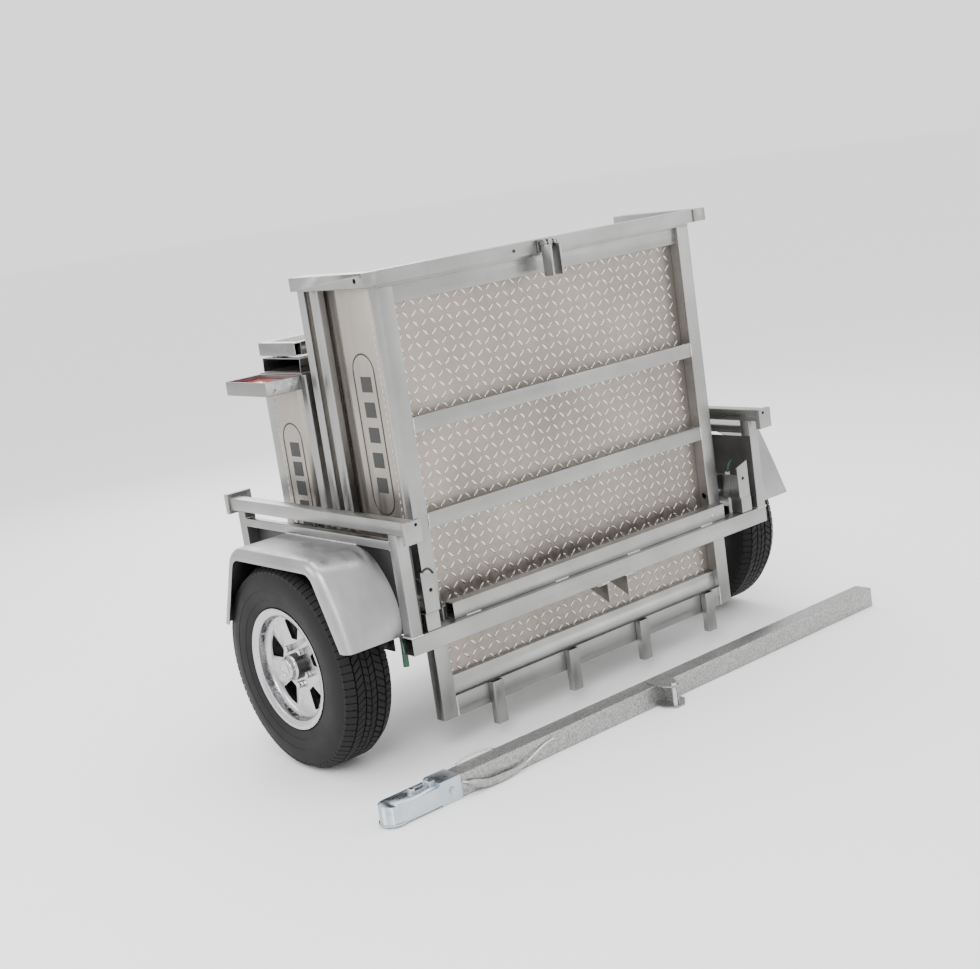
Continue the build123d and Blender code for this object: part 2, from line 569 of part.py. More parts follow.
def safety_cables():
    """A cable each side of the coupler; the near one lies on the ground in a ribbed cover."""
    y, y_end, low = -BAR_FACE - COVER_R - GAP, -BAR_FACE - CABLE_R - GAP, COVER_R + 0.5
    near = [
        (-769, y_end, 46), (-750, y, 38), (-724, y - 1, 25), (-688, y - 1, low + 2), (-645, y - 2, low),
        (-603, y - 1, low + 1), (-562, y, low + 5), (-524, y + 2, 29), (-490, y + 6, 40),
        (-460, y_end, 48), (-436, y_end, 49),
    ]
    put("near_safety_cable", cable(near, CABLE_R))
    put("near_cable_cover", cable(near[1:7], COVER_R) - cable(near, CABLE_R + GAP))
    y = -BAR_FACE + BAR + CABLE_R + GAP
    far = [
        (-770, y, 44), (-756, y, 53), (-733, y, 65), (-703, y, 73), (-664, y, 74),
        (-625, y, 70), (-592, y, 63), (-568, y, 54),
    ]
    put("far_safety_cable", cable(far, CABLE_R))


def wiring():
    """The lighting loom: down the left front post, behind the cross tube, and up a conduit on the right."""
    x, y, z, foot = -BED_HALF_W - 72, -CHASSIS_HALF_L + 18, CROSS_TOP, CROSS_TOP + GAP
    black = [
        (x - 12.2, y, z + 245), (x - 5, y, z + 243), (x, y, z + 235), (x - 2, y - 1, z + 213),
        (x - 1, y, z + 173), (x - 4, y, z + 113), (x - 2, y + 1, z + 53), (x - 4, y, foot),
    ]
    green = [
        (x - 11.5, y + 9, z + 229), (x - 5, y + 9, z + 227), (x + 2, y + 8, z + 218), (x + 3, y + 8, z + 198),
        (x + 1, y + 9, z + 153), (x + 3, y + 8, z + 93), (x + 1, y + 8, z + 48), (x + 2, y + 8, foot),
    ]
    y -= 6.2
    hook = [
        (x + 9, y, z + 143), (x + 14, y, z + 159), (x + 30, y, z + 172), (x + 48, y, z + 172), (x + 58, y, z + 155),
    ]
    put("wiring", cable(black, WIRE_R), cable(green, 3.0), cable(hook, 2.5))
    x, y = -BED_HALF_W - 118, -CHASSIS_HALF_L + CROSS_TUBE + 5 + GAP
    put("wiring", cable([(x, y, z - 3), (x + 1, y, z - 27), (x, y, z - 57), (x - 1, y, z - 89)], 5.0))

    conduit_r = 8.0
    x, y = BED_HALF_W + 17 + GAP + conduit_r, -CHASSIS_HALF_L + 4 + 47 + GAP + conduit_r
    low, length = CROSS_TOP - 4, 138.0
    conduit = rod(conduit_r, length, x, y, low, "z") - rod(conduit_r - 1.5, length + 2, x, y, low - 1, "z")
    clip = rod(conduit_r + 3, 14, x, y, low + 100, "z") - rod(conduit_r + GAP, 40, x, y, low + 90, "z")
    clip -= block(0, x - conduit_r, y - 20, y + 20, low + 90, low + 120)
    put("wire_conduit", conduit, clip)
    x, top = x + conduit_r - 2 - WIRE_R - GAP, low + length
    lead = [
        (x, y, top - 60), (x - 1, y, top - 28), (x, y, top + 6), (x + 12, y + 2, top + 26),
        (x + 34, y + 6, top + 32),
    ]
    put("wiring", cable(lead, WIRE_R))


def build():
    chassis()
    rail_ends()
    pivots()
    receiver()
    suspension()
    for part, solids in wheel().items():
        put(f"right_{part}", solids)
        put(f"left_{part}", [flipped(s) for s in solids])
    front_bed()
    clevis()
    rear_bed()
    drawbar()
    drawbar_bracket()
    safety_cables()
    wiring()


if __name__ == "__main__":
    build()
    os.makedirs("parts", exist_ok=True)
    for name, solids in nodes.items():
        placed = [Pos(0, Y_SHIFT, 0) * s for s in solids]
        export_step(placed[0] if len(placed) == 1 else Compound(children=placed), f"parts/{name}.step")
    print(len(nodes), "nodes, origin", round(Y_SHIFT, 3), "mm behind the axle line")
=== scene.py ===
"""A folding utility trailer, stored upright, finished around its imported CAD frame."""

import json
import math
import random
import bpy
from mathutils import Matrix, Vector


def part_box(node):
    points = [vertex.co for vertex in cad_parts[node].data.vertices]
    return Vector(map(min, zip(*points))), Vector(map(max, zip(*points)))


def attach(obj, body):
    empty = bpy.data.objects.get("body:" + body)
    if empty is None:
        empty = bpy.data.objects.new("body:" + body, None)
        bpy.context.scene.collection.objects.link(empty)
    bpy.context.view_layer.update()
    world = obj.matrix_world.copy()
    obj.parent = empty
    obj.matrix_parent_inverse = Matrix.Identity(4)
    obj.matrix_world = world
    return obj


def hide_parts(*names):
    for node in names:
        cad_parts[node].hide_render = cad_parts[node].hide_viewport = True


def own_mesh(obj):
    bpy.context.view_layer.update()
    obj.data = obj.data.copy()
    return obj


bl_info = {
    "name": "Folding Utility Trailer",
    "version": (1, 0, 0),
    "blender": (4, 5, 0),
    "location": "3D View > Sidebar > Trailer",
    "description": "Finishes the frame of a folding trailer: wheels, tread plate, sheet work, cables and stage",
    "category": "Object",
}

import bmesh
import bpy
from mathutils import Matrix, Vector

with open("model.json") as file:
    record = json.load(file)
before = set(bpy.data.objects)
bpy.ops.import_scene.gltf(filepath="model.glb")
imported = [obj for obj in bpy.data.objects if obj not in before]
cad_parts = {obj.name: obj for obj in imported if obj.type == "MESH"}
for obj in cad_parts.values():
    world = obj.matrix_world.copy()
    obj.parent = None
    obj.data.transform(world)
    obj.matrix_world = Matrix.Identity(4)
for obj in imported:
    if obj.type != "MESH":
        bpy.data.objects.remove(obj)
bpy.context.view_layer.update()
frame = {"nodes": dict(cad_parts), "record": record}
BODY_OF = {n: body for body, members in frame["record"]["behaviour"]["bodies"].items() for n in members}
SLOT_OF = {s["node"]: s["material_slot"] for s in frame["record"]["subparts"]}

MM = 0.001
AXLE_Y = sum(v.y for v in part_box("left_tyre")) / 2
AXLE_Z = sum(v.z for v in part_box("left_tyre")) / 2
TRACK = sum(v.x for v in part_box("right_tyre")) / 2
TYRE_R = AXLE_Z
TYRE_HALF = (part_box("right_tyre")[1].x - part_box("right_tyre")[0].x) / 2
CHASSIS_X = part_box("side_posts")[1].x


# ---------------------------------------------------------------- settings
class TrailerSizes(bpy.types.PropertyGroup):
    """Sizes of the finer shapes."""
    lug_pitch: bpy.props.FloatProperty(
        name="Lug Pitch", description="Distance between the lugs of the tread plate", default=0.029,
        unit="LENGTH")
    lug_length: bpy.props.FloatProperty(
        name="Lug Length", description="Length of one lug of the tread plate", default=0.029, unit="LENGTH")
    lug_height: bpy.props.FloatProperty(
        name="Lug Height", description="How far a lug stands off the plate", default=0.002, unit="LENGTH")
    tube_corner: bpy.props.FloatProperty(
        name="Tube Corner", description="Corner radius of the square tubes", default=0.0026, unit="LENGTH")
    weld_radius: bpy.props.FloatProperty(
        name="Weld Radius", description="Half the width of a weld bead", default=0.0032, unit="LENGTH")
    tread_depth: bpy.props.FloatProperty(
        name="Tread Depth", description="Depth of the tyre's grooves", default=0.007, unit="LENGTH")
    tread_steps: bpy.props.IntProperty(
        name="Tread Steps", description="Tread blocks around the tyre in one rib", default=84)


class TrailerColours(bpy.types.PropertyGroup):
    """Colours of the finishes."""
    aluminium: bpy.props.FloatVectorProperty(
        name="Aluminium", description="Mill finish of the tubes", subtype="COLOR", default=(0.32, 0.32, 0.315))
    plate: bpy.props.FloatVectorProperty(
        name="Tread Plate", description="Warm tint of the deck plate", subtype="COLOR", default=(0.30, 0.265, 0.235))
    sheet: bpy.props.FloatVectorProperty(
        name="Side Sheet", description="Brushed side walls", subtype="COLOR", default=(0.36, 0.33, 0.30))
    rubber: bpy.props.FloatVectorProperty(
        name="Tyre Rubber", description="Tyres", subtype="COLOR", default=(0.004, 0.004, 0.0045))
    steel: bpy.props.FloatVectorProperty(
        name="Galvanised Steel", description="Drawbar", subtype="COLOR", default=(0.33, 0.33, 0.325))
    zinc: bpy.props.FloatVectorProperty(
        name="Zinc Plate", description="Coupler", subtype="COLOR", default=(0.50, 0.55, 0.60))


def sizes():
    return bpy.context.scene.trailer_sizes


def colours():
    return bpy.context.scene.trailer_colours


# ---------------------------------------------------------------- materials
def new_material(name, base, rough, metallic=0.0):
    material = bpy.data.materials.new(name)
    material.use_nodes = True
    shader = material.node_tree.nodes["Principled BSDF"]
    shader.inputs["Base Color"].default_value = (*base, 1)
    shader.inputs["Roughness"].default_value = rough
    shader.inputs["Metallic"].default_value = metallic
    shader.inputs["Specular IOR Level"].default_value = 0.25 if rough > 0.6 else 0.5
    return material, material.node_tree, shader


def noise(tree, scale, detail=3.0, stretch=(1, 1, 1)):
    """A noise over the piece's own coordinates, finer across the stretch directions."""
    where = tree.nodes.new("ShaderNodeTexCoord")
    mapping = tree.nodes.new("ShaderNodeMapping")
    mapping.inputs["Scale"].default_value = stretch
    texture = tree.nodes.new("ShaderNodeTexNoise")
    texture.inputs["Scale"].default_value = scale
    texture.inputs["Detail"].default_value = detail
    tree.links.new(where.outputs["Object"], mapping.inputs["Vector"])
    tree.links.new(mapping.outputs["Vector"], texture.inputs["Vector"])
    return texture.outputs["Fac"]


def spread(tree, value, low, high, start=0.3, stop=0.7):
    """Maps a noise to a range of values."""
    node = tree.nodes.new("ShaderNodeMapRange")
    node.inputs["From Min"].default_value = start
    node.inputs["From Max"].default_value = stop
    node.inputs["To Min"].default_value = low
    node.inputs["To Max"].default_value = high
    tree.links.new(value, node.inputs["Value"])
    return node.outputs["Result"]


def tinted(tree, value, dark, light, start=0.3, stop=0.7):
    ramp = tree.nodes.new("ShaderNodeValToRGB")
    ramp.color_ramp.elements[0].position = start
    ramp.color_ramp.elements[0].color = (*dark, 1)
    ramp.color_ramp.elements[1].position = stop
    ramp.color_ramp.elements[1].color = (*light, 1)
    tree.links.new(value, ramp.inputs["Fac"])
    return ramp.outputs["Color"]


def bumped(tree, shader, value, distance, strength=0.5):
    bump = tree.nodes.new("ShaderNodeBump")
    bump.inputs["Distance"].default_value = distance
    bump.inputs["Strength"].default_value = strength
    tree.links.new(value, bump.inputs["Height"])
    tree.links.new(bump.outputs["Normal"], shader.inputs["Normal"])


def metal(name, base, rough, brush=(1, 1, 1), mottle=7.0, depth=0.12, grain=0.00004, spread_rough=0.1):
    """Bare metal with soft mottling and fine brush marks."""
    material, tree, shader = new_material(name, base, rough, 1.0)
    cloud = noise(tree, mottle, 4.0)
    dark, light = [c * (1 - depth) for c in base], [min(1, c * (1 + depth)) for c in base]
    tree.links.new(tinted(tree, cloud, dark, light), shader.inputs["Base Color"])
    lines = noise(tree, 60, 5.0, brush)
    tree.links.new(spread(tree, lines, rough - spread_rough, rough + spread_rough), shader.inputs["Roughness"])
    bumped(tree, shader, lines, grain)
    return material


def speckled(name, base, rough, cell=260, depth=0.35):
    """Hot-dip zinc: small crystals of differing shade."""
    material, tree, shader = new_material(name, base, rough, 0.85)
    where = tree.nodes.new("ShaderNodeTexCoord")
    cells = tree.nodes.new("ShaderNodeTexVoronoi")
    cells.inputs["Scale"].default_value = cell
    tree.links.new(where.outputs["Object"], cells.inputs["Vector"])
    dark, light = [c * (1 - depth) for c in base], [min(1, c * (1 + depth)) for c in base]
    tree.links.new(tinted(tree, cells.outputs["Color"], dark, light, 0.1, 0.9), shader.inputs["Base Color"])
    fine = noise(tree, 420, 2.0)
    tree.links.new(spread(tree, fine, rough - 0.1, rough + 0.12), shader.inputs["Roughness"])
    bumped(tree, shader, fine, 0.0002)
    return material


def matte(name, base, rough, depth=0.25, scale=30, grain=0.0001):
    """Rubber, plastic or paint with a little unevenness."""
    material, tree, shader = new_material(name, base, rough)
    cloud = noise(tree, scale, 4.0)
    dark, light = [c * (1 - depth) for c in base], [min(1, c * (1 + depth)) for c in base]
    tree.links.new(tinted(tree, cloud, dark, light), shader.inputs["Base Color"])
    tree.links.new(spread(tree, cloud, rough - 0.06, rough + 0.06), shader.inputs["Roughness"])
    bumped(tree, shader, noise(tree, scale * 20, 3.0), grain)
    return material


FINISH = {}


def make_finishes():
    c = colours()
    alu, plate, sheet = tuple(c.aluminium), tuple(c.plate), tuple(c.sheet)
    FINISH.update({
        "tube_x": metal("mill tube across", alu, 0.36, (0.03, 1, 1)),
        "tube_y": metal("mill tube lengthwise", alu, 0.36, (1, 0.03, 1)),
        "tube_z": metal("mill tube upright", alu, 0.36, (1, 1, 0.03)),
        "plate": metal("tread plate", plate, 0.42, (1, 1, 1), 3.0, 0.2),
        # The lugs are the plate's own metal, coloured far lighter than it: a painted glint on their raised tops.
        "lug": metal("tread plate lugs painted glint", (0.66, 0.64, 0.61), 0.24, (1, 1, 1), 20, 0.08),
        "sheet": metal("brushed side sheet", sheet, 0.4, (1, 1, 0.02), 4.0, 0.1, 0.00008, 0.14),
        "fender": metal("fender sheet", (0.32, 0.32, 0.33), 0.38, (1, 0.25, 0.25), 5.0, 0.16),
        "weld": metal("weld bead", (0.55, 0.54, 0.53), 0.3, (1, 1, 1), 90, 0.2),
        "rim": metal("machined rim", (0.46, 0.46, 0.47), 0.24, (1, 1, 1), 12, 0.05),
        # Near-black finish for the rim's windows, inboard side and lip recess: painted shade, not a colour of the
        # metal.
        "rim_painted_shade": metal("rim painted shade", (0.05, 0.05, 0.052), 0.5, (1, 1, 1), 25, 0.3),
        "chrome": metal("chrome", (0.48, 0.48, 0.49), 0.14, (1, 1, 1), 30, 0.06, 0.00001, 0.04),
        "steel": speckled("galvanised steel", tuple(c.steel), 0.42),
        "zinc": metal("zinc plate", tuple(c.zinc), 0.32, (1, 1, 1), 16, 0.1, 0.0001),
        "wire_rope": metal("wire rope", (0.66, 0.65, 0.62), 0.3, (1, 1, 1), 300, 0.3, 0.0004),
        "bolt": metal("plated bolts", (0.55, 0.55, 0.56), 0.28, (1, 1, 1), 40, 0.15),
        "black_steel": matte("black steel", (0.02, 0.02, 0.021), 0.4),
        "liner": matte("dark liner", (0.035, 0.034, 0.033), 0.5, 0.4, 8),
        "rubber": matte("tyre rubber", tuple(c.rubber), 0.62, 0.3, 14, 0.00025),
        "spring": matte("spring rubber", (0.015, 0.015, 0.015), 0.7),
        "cover": matte("ribbed cover", (0.38, 0.38, 0.36), 0.35, 0.25, 90),
        "black_wire": matte("black wire", (0.012, 0.012, 0.012), 0.4),
        "green_wire": matte("green wire", (0.003, 0.045, 0.02), 0.4),
        "red_wire": matte("red wire", (0.45, 0.02, 0.015), 0.4),
        "yellow_wire": matte("yellow wire", (0.55, 0.38, 0.05), 0.4),
        "conduit": matte("grey conduit", (0.40, 0.40, 0.39), 0.45),
        "decal": matte("plain dark marking", (0.012, 0.012, 0.012), 0.45),
        "lamp": matte("lamp housing", (0.015, 0.015, 0.016), 0.5),
        "lens": matte("red lens", (0.35, 0.005, 0.008), 0.12, 0.1),
        "dark_edge": matte("dark pad", (0.04, 0.04, 0.04), 0.6),
    })


# ---------------------------------------------------------------- mesh helpers
def piece(name, bm, body, slot, *finishes, smooth=35):
    """Turns a bmesh into a finished object that rides on a body."""
    mesh = bpy.data.meshes.new(name)
    bm.to_mesh(mesh)
    bm.free()
    for finish in finishes:
        mesh.materials.append(FINISH[finish])
    mesh.shade_smooth()
    obj = bpy.data.objects.new(name, mesh)
    bpy.context.scene.collection.objects.link(obj)
    for edge in mesh.edges:
        edge.use_edge_sharp = False
    if smooth < 180:
        mesh.set_sharp_from_angle(angle=math.radians(smooth))
    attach(obj, body)
    return obj


def cube(bm, low, high, turn=None, bevel=0.0):
    """A box between two corners, its edges rounded by a radius."""
    low, high = Vector(low), Vector(high)
    made = bmesh.ops.create_cube(bm, size=1)["verts"]
    bmesh.ops.scale(bm, vec=high - low, verts=made)
    if bevel:
        edges = {e for v in made for e in v.link_edges}
        made = bmesh.ops.bevel(
            bm, geom=list(edges), offset=bevel, segments=2, profile=0.5, affect="EDGES", material=-1,
        )["verts"]
    if turn:
        bmesh.ops.transform(bm, matrix=turn, verts=made)
    bmesh.ops.translate(bm, vec=(low + high) / 2, verts=made)
    return made


def rod(bm, start, end, radius, segments=20):
    """A closed cylinder between two points."""
    start, end = Vector(start), Vector(end)
    way = end - start
    turn = way.to_track_quat("Z", "Y").to_matrix().to_4x4()
    made = bmesh.ops.create_cone(
        bm, cap_ends=True, segments=segments, radius1=radius, radius2=radius, depth=way.length,
        matrix=Matrix.Translation((start + end) / 2) @ turn,
    )["verts"]
    return made


def dome(bm, at, radius, height, axis="Y", segments=10):
    """A low rivet or screw head."""
    made = bmesh.ops.create_uvsphere(bm, u_segments=segments, v_segments=6, radius=radius)["verts"]
    squash = [height / radius if a == axis else 1 for a in "XYZ"]
    bmesh.ops.scale(bm, vec=squash, verts=made)
    bmesh.ops.translate(bm, vec=at, verts=made)


def lathe(bm, profile, centre, steps=96):
    """Spins an outline of (distance along X, radius) about an axis along X."""
    verts = [bm.verts.new((centre[0] + u, centre[1], centre[2] + r)) for u, r in profile]
    edges = [bm.edges.new(pair) for pair in zip(verts, verts[1:] + verts[:1])]
    bmesh.ops.spin(
        bm, geom=verts + edges, cent=centre, axis=(1, 0, 0), angle=2 * math.pi, steps=steps, use_merge=True,
    )
    bmesh.ops.remove_doubles(bm, verts=bm.verts, dist=1e-6)
    bmesh.ops.recalc_face_normals(bm, faces=bm.faces)


def shape_of(verts):
    """The corners, edges and faces of loose shapes, as one list."""
    return list(verts) + list({e for v in verts for e in v.link_edges}) + list({f for v in verts for f in v.link_faces})


def in_line(bm, verts, step, copies):
    """Repeats a shape along a straight step; gives back the corners of all of them."""
    before = set(bm.verts) - set(verts)
    if copies:
        bmesh.ops.spin(bm, geom=shape_of(verts), cent=(0, 0, 0), axis=(0, 0, 1), dvec=step, angle=0, steps=copies,
                       use_duplicate=True)
    return [v for v in bm.verts if v not in before]


def weld(bm, start, end, radius, wobble, ripple=0.75):
    """A bead of overlapping ripples between two points."""
    start, end = Vector(start), Vector(end)
    way = end - start
    count = max(2, int(way.length / (radius * ripple)))
    step = way / count
    made = []
    for k in range(2):
        size = radius * wobble.uniform(0.85, 1.1)
        at = Matrix.Translation(start + step * k)
        made += bmesh.ops.create_icosphere(bm, subdivisions=1, radius=size, matrix=at)["verts"]
    in_line(bm, made, step * 2, (count - 1) // 2)


def rounded_copy(node, radius, finish, name=None, least=0.045, angle=50, fine=0.0006, smooth=35, extra=()):
    """A copy of a CAD piece with its long outer corners rounded and its short edges eased."""
    bm = bmesh.new()
    bm.from_mesh(frame["nodes"][node].data)
    bmesh.ops.remove_doubles(bm, verts=bm.verts, dist=2e-6)
    bmesh.ops.dissolve_limit(
        bm, angle_limit=math.radians(0.5), use_dissolve_boundaries=False, verts=bm.verts, edges=bm.edges,
    )
    turn = math.radians(angle)
    long_edges = [
        e for e in bm.edges
        if e.is_manifold and e.is_convex and e.calc_length() > least and e.calc_face_angle(0) > turn
    ]
    if long_edges and radius:
        bmesh.ops.bevel(
            bm, geom=long_edges, offset=radius, offset_type="OFFSET", segments=3, profile=0.5,
            affect="EDGES", clamp_overlap=True, material=-1,
        )
    if fine:
        rest = [
            e for e in bm.edges
            if e.is_manifold and e.is_convex and e.calc_face_angle(0) > turn and e.calc_length() > 0.004
        ]
        bmesh.ops.bevel(
            bm, geom=rest, offset=fine, offset_type="OFFSET", segments=1, profile=0.5,
            affect="EDGES", clamp_overlap=True, material=-1,
        )
    obj = piece(name or f"{node}_finished", bm, BODY_OF[node], SLOT_OF[node], finish, *extra, smooth=smooth)
    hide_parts(node)
    return obj


def curve_piece(name, routes, radius, body, finish):
    """Smooth round cords, one spline for each route."""
    data = bpy.data.curves.new(name, "CURVE")
    data.dimensions = "3D"
    data.resolution_u = 8
    data.bevel_depth = radius
    data.bevel_resolution = 3
    data.use_fill_caps = True
    for route in routes:
        spline = data.splines.new("NURBS")
        spline.points.add(len(route) - 1)
        for point, place in zip(spline.points, route):
            point.co = (*place, 1)
        spline.order_u = 3
        spline.use_endpoint_u = True
    data.materials.append(FINISH[finish])
    obj = bpy.data.objects.new(name, data)
    bpy.context.scene.collection.objects.link(obj)
    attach(obj, body)
    return obj


def metres(points, shift=89.0):
    """Route points given about the axle line, in millimetres, as places in the frame."""
    return [(x * MM, (y + shift) * MM, z * MM) for x, y, z in points]


# ---------------------------------------------------------------- operators
class TRAILER_OT_finishes(bpy.types.Operator):
    """Makes every finish and puts one on each CAD piece."""
    bl_idname = "trailer.finishes"
    bl_label = "Finishes"

    def execute(self, context):
        make_finishes()
        by_slot = {
            "mill_aluminium": "tube_x", "tread_plate": "plate", "brushed_sheet": "sheet",
            "fender_sheet": "fender", "dark_liner": "liner", "bright_steel": "bolt",
            "black_steel": "black_steel", "spring_rubber": "spring", "tyre_rubber": "rubber",
            "polished_rim": "rim", "chrome": "chrome", "galvanised": "steel", "zinc": "zinc",
            "cable_steel": "wire_rope", "cover_plastic": "cover", "wire_insulation": "black_wire",
            "conduit_plastic": "conduit", "lamp_housing": "lamp", "red_lens": "lens",
        }
        for node, obj in frame["nodes"].items():
            obj.data.materials.clear()
            obj.data.materials.append(FINISH[by_slot[SLOT_OF[node]]])
        return {"FINISHED"}


class TRAILER_OT_cables(bpy.types.Operator):
    """The two safety cables beside the coupler, and the ribbed cover on the near one."""
    bl_idname = "trailer.cables"
    bl_label = "Safety Cables"

    def execute(self, context):
        bar_face, cable_r, cover_r, gap = 583.0, 3.0, 11.0, 0.3
        y, y_end, low = -bar_face - cover_r - gap, -bar_face - cable_r - gap, cover_r + 0.5
        near = metres([
            (-769, y_end, 46), (-750, y, 38), (-724, y - 1, 25), (-688, y - 1, low + 2), (-645, y - 2, low),
            (-603, y - 1, low + 1), (-562, y, low + 5), (-524, y + 2, 29), (-490, y + 6, 40),
            (-460, y_end, 48), (-436, y_end, 49),
        ])
        y = -bar_face + 63.5 + cable_r + gap
        far = metres([
            (-770, y, 44), (-756, y, 53), (-733, y, 65), (-703, y, 73), (-664, y, 74),
            (-625, y, 70), (-592, y, 63), (-568, y, 54),
        ])
        cable = curve_piece("near_cable", [near], cable_r * MM, "drawbar", "wire_rope")
        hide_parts("near_safety_cable")
        cover = self.ribbed(cable, near, cover_r * MM)
        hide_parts("near_cable_cover")
        other = curve_piece("far_cable", [far], cable_r * MM, "drawbar", "wire_rope")
        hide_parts("far_safety_cable")
        return {"FINISHED"}

    @staticmethod
    def ribbed(cable, route, radius):
        """A close-wound sleeve that narrows to the cable at its far end."""
        line = cable.copy()
        line.data = cable.data.copy()
        line.data.bevel_depth = 0
        line.data.resolution_u = 24
        bpy.context.scene.collection.objects.link(line)
        bare = bpy.data.meshes.new_from_object(line.evaluated_get(bpy.context.evaluated_depsgraph_get()))
        places = [v.co.copy() for v in bare.vertices]
        bpy.data.objects.remove(line)
        bpy.data.meshes.remove(bare)
        along = [0.0]
        for a, b in zip(places, places[1:]):
            along.append(along[-1] + (b - a).length)
        begin, end, pitch = 0.020, 0.235, 0.0046

        def at(distance):
            k = max(i for i, s in enumerate(along) if s <= distance)
            k = min(k, len(places) - 2)
            share = (distance - along[k]) / (along[k + 1] - along[k])
            way = (places[k + 1] - places[k]).normalized()
            return places[k].lerp(places[k + 1], share), way

        bm = bmesh.new()
        rings = []
        count = int((end - begin) / pitch * 4)
        for k in range(count + 1):
            share = k / count
            centre, way = at(begin + (end - begin) * share)
            taper = min(1, 0.45 + share * 6, 0.32 + (1 - share) * 1.5)
            size = radius * taper * (1.0, 0.84, 0.62, 0.84)[k % 4]
            turn = way.to_track_quat("Z", "Y").to_matrix().to_4x4()
            ring = bmesh.ops.create_circle(
                bm, cap_ends=k in (0, count), segments=14, radius=size, matrix=Matrix.Translation(centre) @ turn,
            )["verts"]
            rings.append(ring)
        for a, b in zip(rings, rings[1:]):
            edges = {e for v in a for e in v.link_edges if e.other_vert(v) in a}
            edges |= {e for v in b for e in v.link_edges if e.other_vert(v) in b}
            bmesh.ops.bridge_loops(bm, edges=list(edges))
        bmesh.ops.recalc_face_normals(bm, faces=bm.faces)
        return piece("near_cable_ribbed_cover", bm, "drawbar", "cover_plastic", "cover", smooth=60)


class TRAILER_OT_tyres(bpy.types.Operator):
    """Both tyres: a carcass, sidewall ridges and five ribs of tread blocks."""
    bl_idname = "trailer.tyres"
    bl_label = "Tyres"

    def execute(self, context):
        for side, name in ((1, "right"), (-1, "left")):
            bm = bmesh.new()
            self.carcass(bm)
            self.tread(bm)
            if side < 0:
                bmesh.ops.scale(bm, vec=(-1, 1, 1), verts=bm.verts)
                bmesh.ops.reverse_faces(bm, faces=bm.faces)
            tyre = piece(f"{name}_tyre_treaded", bm, f"{name}_wheel", "tyre_rubber", "rubber", smooth=40)
            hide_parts(f"{name}_tyre")
        return {"FINISHED"}

    @staticmethod
    def carcass(bm):
        w, r, t = TYRE_HALF * 1000, TYRE_R * 1000, sizes().tread_depth * 1000
        half = [
            (w - 30, r - t), (w - 19, r - t - 3), (w - 12, r - 18), (w - 9, r - 21), (w - 7, r - 26), (w - 4, r - 34),
            (w - 1.5, r - 46), (w, r - 60), (w, r - 66), (w - 1.2, r - 67), (w - 1.2, r - 76), (w - 2, r - 84),
            (w - 3.5, r - 96), (w - 4.8, r - 97), (w - 6, r - 106), (w - 9, r - 116), (w - 10, r - 120), (w - 15, 183),
            (w - 16.5, 166), (w - 30, 166), (w - 26, 200), (w - 16, 240), (w - 22, r - 26),
        ]
        profile = half + [(-u, v) for u, v in reversed(half)]
        lathe(bm, [(u * MM, v * MM) for u, v in profile], (TRACK, AXLE_Y, AXLE_Z), 128)

    @staticmethod
    def tread(bm):
        """Blocks are made flat and then wrapped round the tyre."""
        steps, depth = sizes().tread_steps, sizes().tread_depth
        r = TYRE_R
        ribs = (
            (-0.078, -0.050, 0.9, 0.0), (-0.046, -0.021, 0.86, 0.7), (-0.017, -0.0015, 0.9, -0.6),
            (0.0015, 0.017, 0.9, 0.6), (0.021, 0.046, 0.86, -0.7), (0.050, 0.078, 0.9, 0.0),
        )
        pitch = 2 * math.pi / steps
        for u0, u1, fill, skew in ribs:
            shoulder = abs(u0 + u1) > 0.1
            made = bmesh.ops.create_cube(bm, size=1)["verts"]
            bmesh.ops.scale(bm, vec=(u1 - u0, pitch * r * fill, depth + 0.003), verts=made)
            edges = [e for e in {e for v in made for e in v.link_edges} if all(v.co.z > 0 for v in e.verts)]
            made = bmesh.ops.bevel(
                bm, geom=edges, offset=0.0009, segments=1, profile=0.5, affect="EDGES", material=-1,
            )["verts"] + [v for v in made if v.is_valid]
            made = set(made)
            middle = (u0 + u1) / 2
            for v in made:
                u = middle + v.co.x
                drop = 5.4 * max(0.0, abs(u) - 0.052) ** 1.62 if shoulder else 0.0
                radius = r - drop + v.co.z - (depth + 0.003) / 2 - 0.0002
                angle = (v.co.y + skew * v.co.x) / r
                v.co = (TRACK + u, AXLE_Y + radius * math.sin(angle), AXLE_Z + radius * math.cos(angle))
            bmesh.ops.spin(
                bm, geom=shape_of(made), cent=(TRACK, AXLE_Y, AXLE_Z), axis=(1, 0, 0),
                angle=2 * math.pi * (steps - 1) / steps, steps=steps - 1, use_duplicate=True,
            )


class TRAILER_OT_rims(bpy.types.Operator):
    """Both rims with machined spokes and painted shade in their windows and recesses, their hub caps and nuts."""
    bl_idname = "trailer.rims"
    bl_label = "Rims"

    def execute(self, context):
        for side, name in ((1, "right"), (-1, "left")):
            rim = rounded_copy(f"{name}_rim", 0.0022, "rim", least=0.006, angle=28, fine=0, extra=("rim_painted_shade",))
            centre = Vector((side * TRACK, AXLE_Y, AXLE_Z))
            # Faces in the windows, on the inboard side and inside the lip take the dark finish: painted shade in the
            # recesses.
            for face in rim.data.polygons:
                way = face.center - centre
                out = way.x * side
                radius = math.hypot(way.y, way.z)
                flat = abs(face.normal.x) > 0.5
                if radius < 0.1475 and not (flat and out > 0.030):
                    face.material_index = 1
                if out < -0.02 or (radius < 0.162 and out < 0.034 and radius > 0.14):
                    face.material_index = 1
            rounded_copy(f"{name}_hub_cap", 0.001, "chrome", least=0.002, angle=30, fine=0)
            rounded_copy(f"{name}_lug_nuts", 0.0012, "chrome", least=0.006, angle=40, fine=0)
        return {"FINISHED"}


